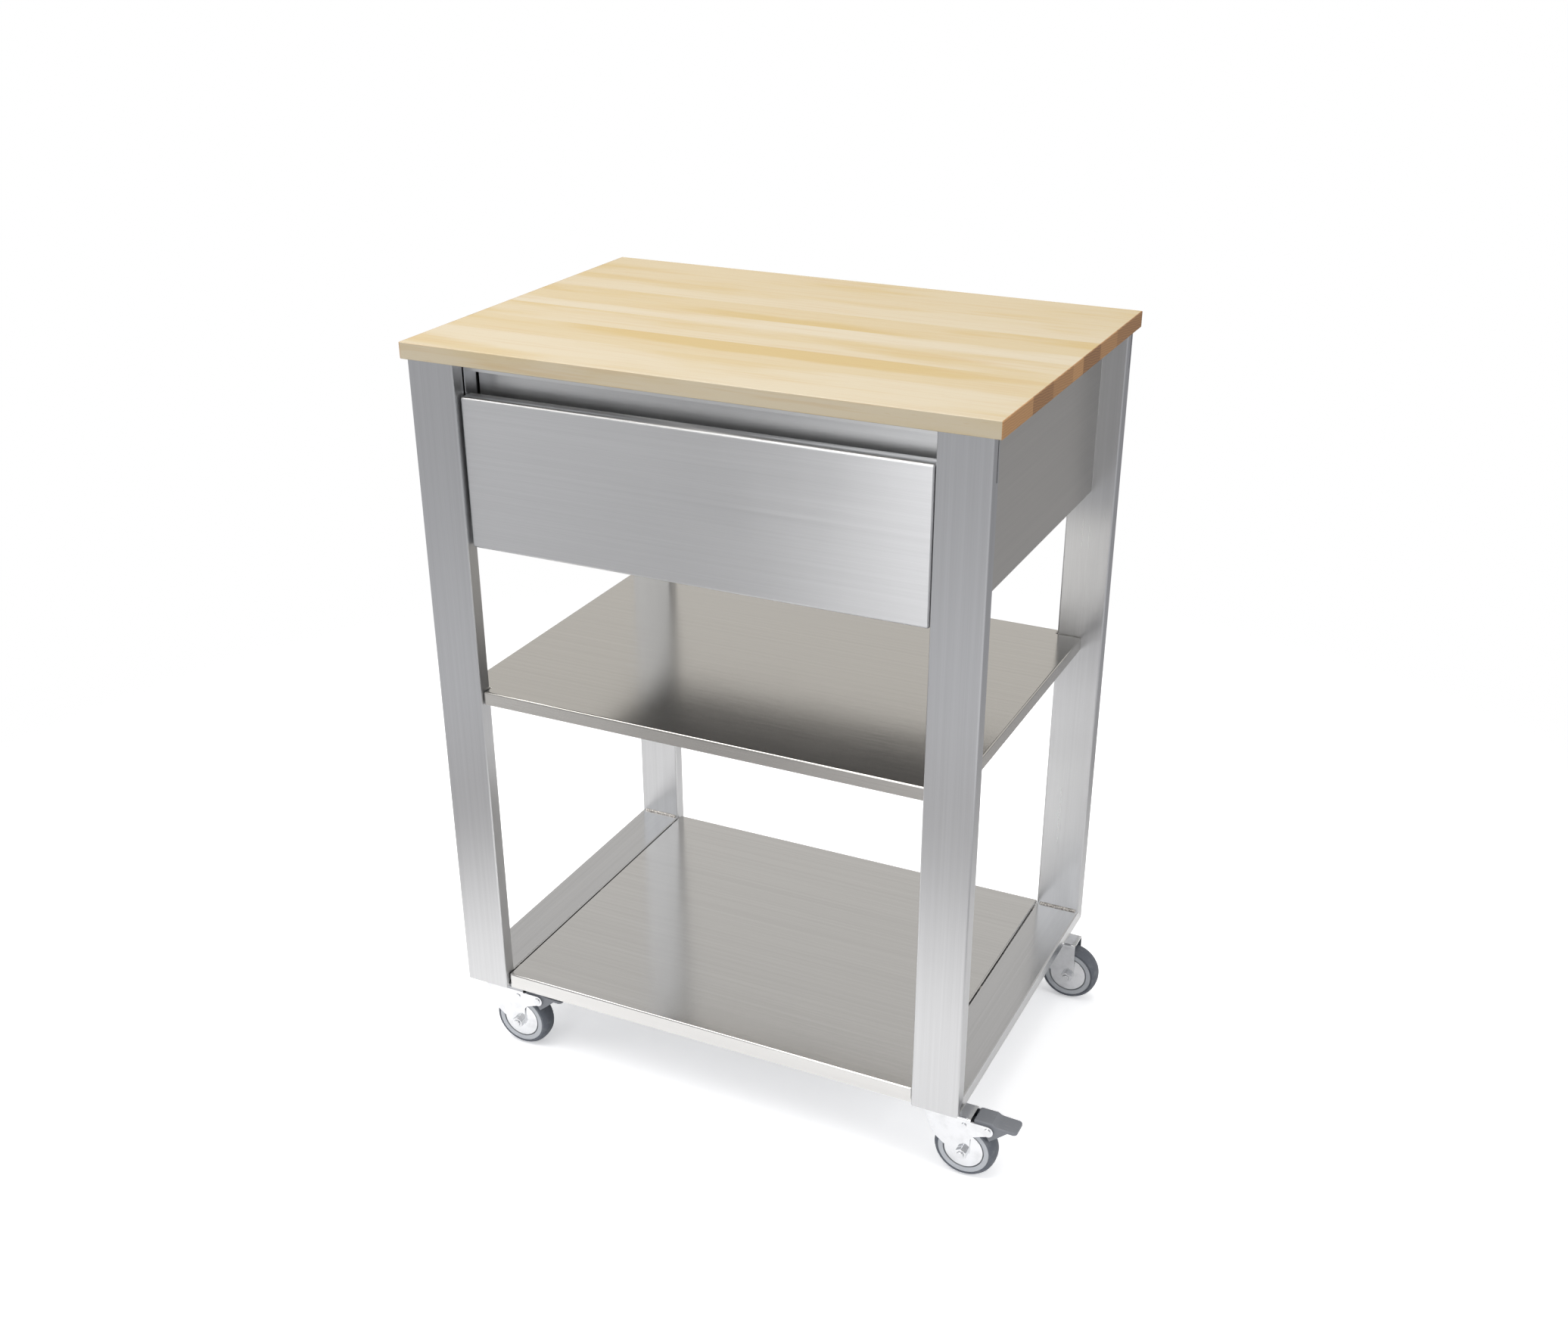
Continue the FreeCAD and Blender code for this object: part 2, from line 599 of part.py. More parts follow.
def folded_fork():
    """The fork's two side plates, folded down from its top plate."""
    side = FORK_OUTSIDE
    foot = (CASTER_TRAIL, WHEEL_RADIUS)
    below = FORK_FOOT_RADIUS * 0.72
    outline = [
        (-FORK_NOSE, FORK_TOP),
        (-FORK_NOSE, FORK_TOP - 9),
        (-FORK_NOSE + 5, FORK_TOP - 24),
        (-FORK_NOSE + 13, FORK_TOP - 36),
        (foot[0] - 21, WHEEL_RADIUS + 2.6),
        (foot[0] - below, WHEEL_RADIUS - below),
        (foot[0] + FORK_FOOT_RADIUS, WHEEL_RADIUS),
        (FORK_TAIL, FORK_TOP),
    ]
    pieces = [plate(outline, -side, side), across(FORK_FOOT_RADIUS, *foot, -side, side)]
    solid = joined(pieces)

    def top_bend(edge):
        place = edge.CenterOfMass
        return straight_along(edge, vec(1, 0, 0)) and place.z > FORK_TOP - 0.1

    def top_of_hollow(edge):
        place = edge.CenterOfMass
        return straight_along(edge, vec(1, 0, 0)) and place.z > FORK_TOP_INSIDE - 0.1

    solid = rounded(solid, FORK_BEND, top_bend)
    inner = FORK_INSIDE
    reach = PEDAL_PIVOT_X + 2 * ARM_END_RADIUS
    hollow = block(-FORK_NOSE - 5, reach, -inner, inner, 0, FORK_TOP_INSIDE)
    hollow = rounded(hollow, FORK_BEND - FORK_SHEET, top_of_hollow)
    return solid.cut(hollow)


def fork(braked):
    """The swivelling fork with its race on top, and the pedal's two arms if it is braked."""
    side = FORK_OUTSIDE
    solid = folded_fork()
    if braked:
        arms = [arm_plate(-side, -FORK_INSIDE), arm_plate(FORK_INSIDE, side)]
        solid = joined([solid] + arms)
    race = rod(RACE_RADIUS, (0, 0, FORK_TOP), (0, 0, FORK_TOP + RACE_HEIGHT))
    race = rounded(race, 1.0, lambda edge: edge.CenterOfMass.z > FORK_TOP + 1)
    solid = joined([solid, race])
    top = FORK_TOP + RACE_HEIGHT + 1
    hole = STEM_RADIUS + RUNNING_CLEARANCE
    solid = solid.cut(rod(hole, (0, 0, FORK_TOP_INSIDE - 1), (0, 0, top)))
    solid = solid.cut(across(AXLE_RADIUS, CASTER_TRAIL, WHEEL_RADIUS, -side - 1, side + 1))
    if braked:
        pivot = (PEDAL_PIVOT_X, PEDAL_PIVOT_Z)
        solid = solid.cut(across(PEDAL_PIN_RADIUS, *pivot, -side - 1, side + 1))
        solid = solid.cut(across(RIVET_RADIUS, CASTER_TRAIL, PEDAL_PIVOT_Z, -side - 1, side + 1))
    return solid


def axle_bolt():
    """The axle: a bolt with its head behind the fork and its nut in front."""
    x = CASTER_TRAIL
    z = WHEEL_RADIUS
    side = FORK_OUTSIDE
    front = -side - AXLE_NUT_HEIGHT
    shaft = across(AXLE_RADIUS, x, z, front - AXLE_END, side + 0.5)
    shaft = rounded(shaft, 0.6, lambda edge: edge.CenterOfMass.y < front)
    head = hexagon(AXLE_FLATS, (x, side, z), (x, side + AXLE_HEAD_HEIGHT, z))
    nut = hexagon(AXLE_FLATS, (x, front, z), (x, -side, z))
    nut = nut.cut(across(AXLE_RADIUS, x, z, front - 1, -side + 1))
    return Part.makeCompound([joined([shaft, head]), nut])


def spun(points):
    """A ring spun about the axle from a half section of radius and depth."""
    x = CASTER_TRAIL
    z = WHEEL_RADIUS
    corners = [vec(x + radius, y, z) for radius, y in points]
    face = Part.Face(Part.makePolygon(corners + [corners[0]]))
    return face.revolve(vec(x, 0, z), vec(0, 1, 0), 360)


def thread_guards():
    """The two dished discs that stay still on the axle beside the wheel."""
    edge = GROOVE_RADIUS - GROOVE_GAP
    flat = FORK_INSIDE
    rim = WHEEL_WIDTH / 2 - 0.6
    hub_end = WHEEL_WIDTH / 2 - HUB_RECESS + END_CLEARANCE
    section = [
        (AXLE_RADIUS, flat),
        (GUARD_FLAT_RADIUS, flat),
        (edge, rim),
        (edge, rim - GUARD_SHEET),
        (GUARD_FLAT_RADIUS, flat - GUARD_SHEET),
        (GUARD_BOSS_RADIUS, flat - GUARD_SHEET),
        (GUARD_BOSS_RADIUS, hub_end),
        (AXLE_RADIUS, hub_end),
    ]
    back = spun(section)
    return Part.makeCompound([flipped_depth(back), back])


def rim():
    """The wheel's core: rim, web and hub in one moulding."""
    half = WHEEL_WIDTH / 2
    hub = half - HUB_RECESS
    web = half - WEB_RECESS
    bore = AXLE_RADIUS + RUNNING_CLEARANCE
    section = [
        (bore, -hub),
        (HUB_RADIUS, -hub),
        (HUB_RADIUS, -web),
        (GROOVE_RADIUS, -web),
        (GROOVE_RADIUS, -half),
        (RIM_RADIUS, -half),
        (RIM_RADIUS, half),
        (GROOVE_RADIUS, half),
        (GROOVE_RADIUS, web),
        (HUB_RADIUS, web),
        (HUB_RADIUS, hub),
        (bore, hub),
    ]
    return spun(section)


def tyre():
    half = WHEEL_WIDTH / 2
    place = (CASTER_TRAIL, WHEEL_RADIUS)
    solid = across(WHEEL_RADIUS, *place, -half, half)
    shoulder = min(TREAD_SHOULDER, 0.9 * TREAD_DEPTH)
    solid = rounded(solid, shoulder, lambda edge: edge.Curve.TypeId == "Part::GeomCircle")
    return solid.cut(across(RIM_RADIUS, *place, -half - 1, half + 1))


def brake_pedal():
    """The brake pedal in its pressed place, with the lug that bears on the tyre."""
    half = FORK_INSIDE - PEDAL_SIDE_GAP
    x0 = FORK_TAIL + 3.4
    tip = x0 + PEDAL_LENGTH
    top = FORK_TOP + 0.9
    px = PEDAL_PIVOT_X
    pz = PEDAL_PIVOT_Z
    outline = [
        (x0, top - 1.2),
        (x0 + 1.5, top),
        (px + 4, top),
        (px + 7.5, top - 2.4),
        (px + 11.5, top - 3.2),
        (tip, top - 4.2),
        (tip, top - 7.6),
        (px + 23, top - 7.4),
        (px + 10.4, pz - 7.4),
        beside_tyre(37.0, BRAKE_GAP),
        beside_tyre(44.8, BRAKE_GAP + 0.7),
        beside_tyre(57.8, BRAKE_GAP + 1.3),
        beside_tyre(71.0, BRAKE_GAP + 3.5),
        (x0, top - 7.3),
    ]
    solid = plate(outline, -half, half)

    def tip_corner(edge):
        return straight_along(edge, vec(0, 0, 1)) and edge.CenterOfMass.x > tip - 0.1

    solid = rounded(solid, PEDAL_TIP_RADIUS, tip_corner)

    def top_rim(edge):
        place = edge.CenterOfMass
        return abs(place.y) > half - 0.1 and place.z > top - 4.3

    solid = rounded(solid, 1.2, top_rim)
    bore = PEDAL_PIN_RADIUS + RUNNING_CLEARANCE
    return solid.cut(across(bore, px, pz, -half - 1, half + 1))


def fork_pins():
    """The pedal's pivot pin and the two short rivets of a braked fork."""
    side = FORK_OUTSIDE
    pivot = (PEDAL_PIVOT_X, PEDAL_PIVOT_Z)
    reach = side + PIN_HEAD_HEIGHT
    pieces = [
        across(PEDAL_PIN_RADIUS, *pivot, -reach, reach),
        across(PIN_HEAD_RADIUS, *pivot, -reach, -side),
        across(PIN_HEAD_RADIUS, *pivot, side, reach),
    ]
    shank = across(RIVET_RADIUS, CASTER_TRAIL, PEDAL_PIVOT_Z, FORK_INSIDE, reach)
    cap = across(RIVET_HEAD_RADIUS, CASTER_TRAIL, PEDAL_PIVOT_Z, side, reach)
    rivet = joined([shank, cap])
    return Part.makeCompound([joined(pieces), rivet, flipped_depth(rivet)])


def caster_places():
    return {
        "front_left": (-X_MID, -CASTER_Y),
        "front_right": (X_MID, -CASTER_Y),
        "rear_left": (-X_MID, CASTER_Y),
        "rear_right": (X_MID, CASTER_Y),
    }


def save(name, shape):
    for solid in shape.Solids:
        if not solid.isValid() or solid.Volume <= 0:
            raise ValueError(name + " has a bad solid")
    shape.exportStep("parts/" + name + ".step")
    print(name, len(shape.Solids), round(shape.Volume / 1000, 2))


def save_pair(name, right_shape):
    save(name + "_right", right_shape)
    save(name + "_left", mirrored(right_shape))


def save_casters():
    nuts = []
    shared = {
        "caster_head": caster_head(),
        "axle_bolt": axle_bolt(),
        "thread_guards": thread_guards(),
        "wheel_core": rim(),
        "tyre": tyre(),
    }
    forks = {True: fork(True), False: fork(False)}
    nut = stem_nut()
    for place, (x, y) in caster_places().items():
        braked = place.startswith("front")
        for name, shape in shared.items():
            save(name + "_" + place, moved(shape, x, y, 0))
        save("fork_" + place, moved(forks[braked], x, y, 0))
        if braked:
            save("brake_pedal_" + place, moved(brake_pedal(), x, y, 0))
            save("fork_pins_" + place, moved(fork_pins(), x, y, 0))
        nuts.append(moved(nut, x, y, 0))
    save("stem_nuts", Part.makeCompound(nuts))


def main():
    os.makedirs("parts", exist_ok=True)
    save("worktop", worktop())
    save("worktop_screws", worktop_screws())
    save_pair("leg_front", right_leg(False))
    save_pair("leg_rear", right_leg(True))
    save_pair("bottom_rail", right_bottom_rail())
    save("weld_beads", weld_beads())
    save_pair("side_panel", right_side_panel())
    save("back_panel", back_panel())
    save("front_apron", front_apron())
    save("middle_shelf", middle_shelf())
    save("bottom_shelf", bottom_shelf())
    save_pair("runner_support", right_runner_support())
    save_pair("runner_outer", right_runner_outer())
    save_pair("runner_middle", right_runner_middle())
    save_pair("runner_inner", right_runner_inner())
    save("drawer_front", drawer_front())
    save_pair("drawer_side", right_drawer_side())
    save("drawer_bottom", drawer_bottom())
    save("drawer_back", drawer_back())
    save_casters()


main()
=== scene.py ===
import math

import bpy
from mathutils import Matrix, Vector


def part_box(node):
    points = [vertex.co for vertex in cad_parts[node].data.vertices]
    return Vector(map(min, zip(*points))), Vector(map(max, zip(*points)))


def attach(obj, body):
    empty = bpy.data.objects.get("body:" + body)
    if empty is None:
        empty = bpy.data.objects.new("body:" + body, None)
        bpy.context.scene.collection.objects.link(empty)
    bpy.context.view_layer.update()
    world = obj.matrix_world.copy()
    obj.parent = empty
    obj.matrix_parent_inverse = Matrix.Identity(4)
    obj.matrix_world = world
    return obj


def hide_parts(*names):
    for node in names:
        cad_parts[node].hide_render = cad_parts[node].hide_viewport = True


# Kitchen island cart: looks of the worktop, the brushed steel frame, the drawer and the casters.
# Metres. +X right, +Y back, +Z up. Places and sizes come from the frame.

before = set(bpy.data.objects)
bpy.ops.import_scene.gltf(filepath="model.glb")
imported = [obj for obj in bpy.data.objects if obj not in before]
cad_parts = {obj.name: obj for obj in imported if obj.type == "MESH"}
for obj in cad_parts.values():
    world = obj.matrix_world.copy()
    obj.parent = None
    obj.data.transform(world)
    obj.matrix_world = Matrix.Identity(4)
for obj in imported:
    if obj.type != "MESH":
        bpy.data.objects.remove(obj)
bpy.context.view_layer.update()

SIDES = ("left", "right")
PLACES = ("front_left", "front_right", "rear_left", "rear_right")
BRAKED = ("front_left", "front_right")
MM = 0.001
MERGE_DISTANCE = 0.002 * MM


# ---- shader expressions ------------------------------------------------------------------------


class Value:
    """A number socket in a material, for use in Python expressions."""

    def __init__(self, graph, socket):
        self.graph = graph
        self.socket = socket

    def maths(self, operation, *others):
        return self.graph.node("ShaderNodeMath", {"operation": operation}, (self, *others))[0]

    def __add__(self, other):
        return self.maths("ADD", other)

    def __sub__(self, other):
        return self.maths("SUBTRACT", other)

    def __mul__(self, other):
        return self.maths("MULTIPLY", other)

    def __truediv__(self, other):
        return self.maths("DIVIDE", other)

    __radd__ = __add__

    def clamped(self):
        return self.maths("MAXIMUM", 0.0).maths("MINIMUM", 1.0)

    def step(self, low, high):
        """Rises smoothly from 0 at low to 1 at high."""
        settings = {"interpolation_type": "SMOOTHSTEP"}
        inputs = {"Value": self, "From Min": low, "From Max": high}
        return self.graph.node("ShaderNodeMapRange", settings, inputs)[0]


class Node:
    """A shader node whose outputs are reached by place or name."""

    def __init__(self, graph, node):
        self.graph = graph
        self.node = node

    def __getitem__(self, key):
        return Value(self.graph, self.node.outputs[key])


class Graph:
    """The node tree of one material or world."""

    def __init__(self, tree):
        self.tree = tree
        tree.nodes.clear()

    def node(self, kind, settings=None, inputs=()):
        node = self.tree.nodes.new(kind)
        for name, value in (settings or {}).items():
            if name == "stops":
                self.set_stops(node.color_ramp, value)
            else:
                setattr(node, name, value)
        pairs = inputs.items() if isinstance(inputs, dict) else enumerate(inputs)
        for key, value in pairs:
            if isinstance(value, Value):
                self.tree.links.new(value.socket, node.inputs[key])
            else:
                node.inputs[key].default_value = value
        return Node(self, node)

    def set_stops(self, ramp, stops):
        while len(ramp.elements) < len(stops):
            ramp.elements.new(1.0)
        for element, (place, level) in zip(ramp.elements, stops):
            element.position = place
            element.color = colour(level, level, level)

    def place(self):
        return self.node("ShaderNodeTexCoord")["Object"]

    def axes(self, vector):
        split = self.node("ShaderNodeSeparateXYZ", {}, (vector,))
        return split[0], split[1], split[2]

    def scaled(self, vector, x, y, z):
        return self.node("ShaderNodeVectorMath", {"operation": "MULTIPLY"}, (vector, (x, y, z)))[0]

    def noise(self, vector, scale=1.0, detail=2.0, roughness=0.5):
        inputs = {"Vector": vector, "Scale": scale, "Detail": detail, "Roughness": roughness}
        return self.node("ShaderNodeTexNoise", {}, inputs)[0]

    def mixed(self, factor, first, second):
        settings = {"data_type": "RGBA"}
        return self.node("ShaderNodeMix", settings, {0: factor, 6: first, 7: second})[2]

    def bump(self, height, distance, strength=1.0):
        inputs = {"Height": height, "Distance": distance, "Strength": strength}
        return self.node("ShaderNodeBump", {}, inputs)[0]

    def surface(self, inputs):
        shader = self.node("ShaderNodeBsdfPrincipled", {}, inputs)
        self.node("ShaderNodeOutputMaterial", {}, {"Surface": shader[0]})


def new_material(name):
    material = bpy.data.materials.new(name)
    material.use_nodes = True
    return material, Graph(material.node_tree)


def colour(red, green, blue):
    return (red, green, blue, 1.0)


# ---- materials ---------------------------------------------------------------------------------

# Painted reflection: one stainless steel in two tints. The warm tint stands in for the warm room
# reflected in the shelves and panels, and the cool tint for the bluish floor reflected in the legs,
# rails and drawer front.
PAINTED_WARM_REFLECTION_STEEL = (0.60, 0.585, 0.555)
PAINTED_COOL_REFLECTION_STEEL = (0.615, 0.62, 0.63)
ACROSS_GRAIN = 0.25

ALONG = 7.0
ACROSS = 1800.0
GRAIN_SCALES = {
    "X": (ALONG, ACROSS, ACROSS),
    "Y": (ACROSS, ALONG, ACROSS),
    "Z": (ACROSS, ACROSS, ALONG),
}
BAND_SCALE = 0.12
STREAK_TONE = 0.93
CLOUD_GLOSS = 0.07
BAND_GLOSS = 0.08
SMUDGE_GLOSS = 0.008


def brushed_steel(name, grain, tint, roughness, depth, spread, turn):
    """Stainless sheet or tube with long fine scratches along one axis."""
    material, g = new_material(name)
    place = g.place()
    scales = GRAIN_SCALES[grain]
    fine = g.noise(g.scaled(place, *scales), 1.0, 2.0, 0.6)
    bands = g.noise(g.scaled(place, *[axis * BAND_SCALE for axis in scales]), 1.0, 3.0, 0.6)
    clouds = g.noise(place, 7.0, 3.0, 0.55)
    smudge = g.noise(place, 30.0, 3.0, 0.6).step(0.58, 0.76)
    streaks = fine * 0.45 + bands * 0.55
    dark = colour(*[part * STREAK_TONE for part in tint])
    shade = g.mixed(streaks.step(0.32, 0.68), dark, colour(*tint))
    uneven = (clouds - 0.5) * CLOUD_GLOSS + (bands - 0.5) * BAND_GLOSS + smudge * SMUDGE_GLOSS
    g.surface({
        "Base Color": shade,
        "Metallic": 1.0,
        "Roughness": uneven + roughness,
        "Anisotropic": spread,
        "Anisotropic Rotation": turn,
        "Normal": g.bump(fine, depth),
    })
    return material


# Where each board begins, as a share of the worktop's depth, and how dark it is.
BOARDS = [
    (0.0, 0.12),
    (0.182, 0.74),
    (0.316, 0.38),
    (0.453, 0.06),
    (0.527, 0.82),
    (0.656, 0.30),
    (0.788, 0.62),
]
BOARD_SHIFT = (7.0, 3.0, 5.0)
END_FROM = 1.6 * MM
END_TO = 0.7 * MM


def worktop_wood():
    """Oiled boards glued side by side, their grain along X, each with its own tone."""
    material, g = new_material("worktop_wood")
    place = g.place()
    x, y = g.axes(place)[:2]
    low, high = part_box("worktop")
    share = (y - low[1]) / (high[1] - low[1])
    ramp = g.node("ShaderNodeValToRGB", {"stops": BOARDS}, (share,))
    ramp.node.color_ramp.interpolation = "CONSTANT"
    tone = ramp[0]
    shift = g.node("ShaderNodeCombineXYZ", {}, [tone * part for part in BOARD_SHIFT])[0]
    board = g.node("ShaderNodeVectorMath", {"operation": "ADD"}, (place, shift))[0]
    flame = g.noise(g.scaled(board, 2.6, 16.0, 16.0), 1.0, 4.0, 0.55)
    fibre = g.noise(g.scaled(board, 26.0, 900.0, 900.0), 1.0, 3.0, 0.6)
    lines = g.noise(g.scaled(board, 5.0, 190.0, 190.0), 1.0, 3.0, 0.6)
    fleck = g.noise(g.scaled(board, 60.0, 700.0, 700.0), 1.0, 1.0, 0.5).step(0.66, 0.78)
    cream = colour(0.44, 0.385, 0.285)
    honey = colour(0.39, 0.29, 0.125)
    shade = g.mixed((tone * 0.62 + flame.step(0.46, 0.66) * 0.55).clamped(), cream, honey)
    shade = g.mixed(lines.step(0.50, 0.66) * 0.26, shade, colour(0.38, 0.25, 0.11))
    shade = g.mixed(fleck * 0.20, shade, colour(0.36, 0.22, 0.09))
    at_end = x.maths("ABSOLUTE").step(high[0] - END_FROM, high[0] - END_TO)
    across = g.scaled(board, 0.0, 30.0, 55.0)
    rings = g.node(
        "ShaderNodeTexWave",
        {"wave_type": "RINGS", "rings_direction": "X"},
        {"Vector": across, "Scale": 2.2, "Distortion": 4.0, "Detail": 2.0},
    )[0]
    end_tone = (rings * 0.35 + tone * 0.8).clamped()
    end_shade = g.mixed(end_tone, colour(0.40, 0.215, 0.085), colour(0.17, 0.078, 0.026))
    shade = g.mixed(at_end, shade, end_shade)
    relief = fibre * 0.7 + lines * 0.3
    g.surface({
        "Base Color": shade,
        "Roughness": 0.40 + fibre * 0.16 + at_end * 0.12,
        "Coat Weight": 0.08,
        "Coat Roughness": 0.30,
        "Normal": g.bump(relief, 0.00006, 0.6),
    })
    return material


def plated_steel(name, tint, roughness):
    """Bright zinc or chrome plate with a slightly uneven gloss."""
    material, g = new_material(name)
    place = g.place()
    clouds = g.noise(place, 60.0, 3.0, 0.6)
    orange_peel = g.noise(place, 900.0, 2.0, 0.5)
    dull = colour(*[part * 0.88 for part in tint])
    g.surface({
        "Base Color": g.mixed(clouds.step(0.4, 0.7), colour(*tint), dull),
        "Metallic": 1.0,
        "Roughness": roughness + clouds * 0.14,
        "Normal": g.bump(orange_peel, 0.00002),
    })
    return material


def welded_steel():
    """Bare weld metal, its colour darkened by painted shade in the low spots between its ripples.
    """
    material, g = new_material("welded_steel")
    place = g.place()
    spots = g.noise(place, 420.0, 3.0, 0.6)
    # Painted shade: the low spots of the ripples, where the bump is low, take this darker colour.
    painted_valley_shade = colour(0.32, 0.30, 0.28)
    ripple = colour(0.68, 0.66, 0.63)
    g.surface({
        "Base Color": g.mixed(spots.step(0.35, 0.7), painted_valley_shade, ripple),
        "Metallic": 1.0,
        "Roughness": 0.24 + spots * 0.3,
        "Normal": g.bump(spots, 0.0002),
    })
    return material


def moulded_plastic(name, tint, worn, roughness):
    """Moulded plastic with a fine eroded texture and scuffs."""
    material, g = new_material(name)
    place = g.place()
    grainy = g.noise(place, 2600.0, 2.0, 0.6)
    scuffs = g.noise(g.scaled(place, 140.0, 700.0, 260.0), 1.0, 3.0, 0.6).step(0.58, 0.76)
    g.surface({
        "Base Color": g.mixed(scuffs * 0.35, colour(*tint), colour(*worn)),
        "Roughness": roughness + grainy * 0.14 + scuffs * 0.08,
        "Normal": g.bump(grainy, 0.00003, 0.8),
    })
    return material


def tyre_rubber():
    """Blue-grey soft rubber with dusty patches."""
    material, g = new_material("tyre_rubber")
    place = g.place()
    grainy = g.noise(place, 2200.0, 2.0, 0.6)
    dust = g.noise(place, 120.0, 4.0, 0.65).step(0.46, 0.74)
    rubber = colour(0.085, 0.095, 0.115)
    dusty = colour(0.19, 0.20, 0.215)
    g.surface({
        "Base Color": g.mixed(dust * 0.42, rubber, dusty),
        "Roughness": 0.52 + grainy * 0.2 + dust * 0.1,
        "Normal": g.bump(grainy, 0.00005, 0.8),
    })
    return material


# Each sheet or tube: grain axis, tint, roughness, scratch depth, spread and turn of the sheen.
STEELS = {
    "leg": ("Z", PAINTED_COOL_REFLECTION_STEEL, 0.30, 0.000006, 0.9, 0.0),
    "rail": ("Y", PAINTED_COOL_REFLECTION_STEEL, 0.18, 0.00002, 0.0, 0.0),
    "drawer_front": ("X", PAINTED_COOL_REFLECTION_STEEL, 0.35, 0.000008, 0.95, ACROSS_GRAIN),
    "panel": ("Y", PAINTED_WARM_REFLECTION_STEEL, 0.32, 0.00001, 0.9, ACROSS_GRAIN),
    "cross_panel": ("X", PAINTED_WARM_REFLECTION_STEEL, 0.24, 0.000004, 0.7, ACROSS_GRAIN),
    # Painted light: the apron's steel is tinted lighter than the other steel, standing in for light
    # that barely reaches it deep in the finger gap.
    "apron": ("X", (0.66, 0.665, 0.67), 0.32, 0.000004, 0.6, ACROSS_GRAIN),
    "shelf": ("X", PAINTED_WARM_REFLECTION_STEEL, 0.16, 0.00003, 0.0, 0.0),
    # Painted light: the bottom shelf is a lighter copy of the middle shelf's steel.
    "bottom_shelf": ("X", (0.67, 0.665, 0.655), 0.16, 0.00002, 0.0, 0.0),
    # Painted shade: the drawer bottom's steel is tinted far darker than the rest, standing in for
    # the shade on its underside.
    "drawer_bottom": ("X", (0.23, 0.226, 0.22), 0.34, 0.00002, 0.0, 0.0),
}


def make_materials():
    core_tint = (0.40, 0.42, 0.45)
    pedal_tint = (0.17, 0.18, 0.20)
    materials = {name: brushed_steel(name + "_steel", *finish) for name, finish in STEELS.items()}
    materials["wood"] = worktop_wood()
    materials["zinc"] = plated_steel("zinc_plate", (0.78, 0.79, 0.81), 0.15)
    materials["chrome"] = plated_steel("bright_plate", (0.80, 0.81, 0.83), 0.10)
    materials["weld"] = welded_steel()
    materials["core"] = moulded_plastic("wheel_core_plastic", core_tint, (0.5, 0.5, 0.5), 0.42)
    materials["pedal"] = moulded_plastic("pedal_plastic", pedal_tint, (0.3, 0.3, 0.3), 0.40)
    materials["tyre"] = tyre_rubber()
    return materials


def dress(nodes, material):
    """Gives CAD nodes a material in all their slots."""
    for name in nodes:
        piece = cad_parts[name]
        if not piece.material_slots:
            piece.data.materials.append(material)
        for slot in piece.material_slots:
            slot.material = material


def both(name):
    return [name + "_" + side for side in SIDES]


def dress_frame(materials):
    """Finishes for the nodes that keep their CAD shape."""
    dress(both("drawer_side"), materials["panel"])
    dress(["drawer_back"], materials["cross_panel"])
    dress(["drawer_bottom"], materials["drawer_bottom"])
    dress(["worktop_screws", "stem_nuts"], materials["zinc"])
    for runner in ("runner_support", "runner_outer", "runner_middle", "runner_inner"):
        dress(both(runner), materials["zinc"])


# ---- shaping tools -----------------------------------------------------------------------------

BEND_ANGLE = 32.0
TURNED_ANGLE = 30.0
TURNING_STEPS = 96


def deselect():
    bpy.ops.object.select_all(action="DESELECT")


def pick(piece):
    deselect()
    piece.select_set(True)
    bpy.context.view_layer.objects.active = piece


def clean(piece, angle):
    """Merges doubles, turns the faces outwards and shades bends smooth while flats stay flat."""
    pick(piece)
    bpy.ops.mesh.customdata_custom_splitnormals_clear()
    bpy.ops.object.mode_set(mode="EDIT")
    bpy.ops.mesh.select_all(action="SELECT")
    bpy.ops.mesh.remove_doubles(threshold=MERGE_DISTANCE)
    bpy.ops.mesh.normals_make_consistent(inside=False)
    bpy.ops.object.mode_set(mode="OBJECT")
    bpy.ops.object.transform_apply(location=True, rotation=True, scale=True)
    bpy.ops.object.shade_smooth_by_angle(angle=math.radians(angle))
    weighted = piece.modifiers.new("flats", "WEIGHTED_NORMAL")
    weighted.mode = "FACE_AREA"
    weighted.keep_sharp = True
    bpy.ops.object.modifier_apply(modifier=weighted.name)


def eased(piece, width):
    """Rounds the piece's sharp edges by a small width."""
    pick(piece)
    bevel = piece.modifiers.new("ease", "BEVEL")
    bevel.width = width
    bevel.segments = 2
    bevel.limit_method = "ANGLE"
    bevel.angle_limit = math.radians(BEND_ANGLE)
    bevel.use_clamp_overlap = True
    bpy.ops.object.modifier_apply(modifier=bevel.name)


def joined(pieces, name):
    pick(pieces[0])
    for piece in pieces:
        piece.select_set(True)
    bpy.ops.object.join()
    whole = bpy.context.object
    whole.name = name
    return whole


def copied(piece, name, shift):
    """A copy with its own mesh, moved by a shift that is put into the mesh."""
    pick(piece)
    bpy.ops.object.duplicate(linked=False)
    twin = bpy.context.object
    twin.name = name
    twin.location = shift
    bpy.ops.object.transform_apply(location=True, rotation=True, scale=True)
    return twin


def finished(piece, material, body, slot, *nodes):
    """Gives the piece its finish and its place in the frame."""
    piece.data.materials.clear()
    piece.data.materials.append(material)
    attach(piece, body)
    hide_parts(*nodes)


def smooth_node(node, material, body, slot, ease=0.0):
    """A smooth-shaded piece with the exact shape of a CAD node, its hard edges eased."""
    piece = bpy.data.objects.new(node + "_piece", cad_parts[node].data.copy())
    bpy.context.scene.collection.objects.link(piece)
    clean(piece, BEND_ANGLE)
    if ease:
        eased(piece, ease)
        clean(piece, BEND_ANGLE)
    finished(piece, material, body, slot, node)


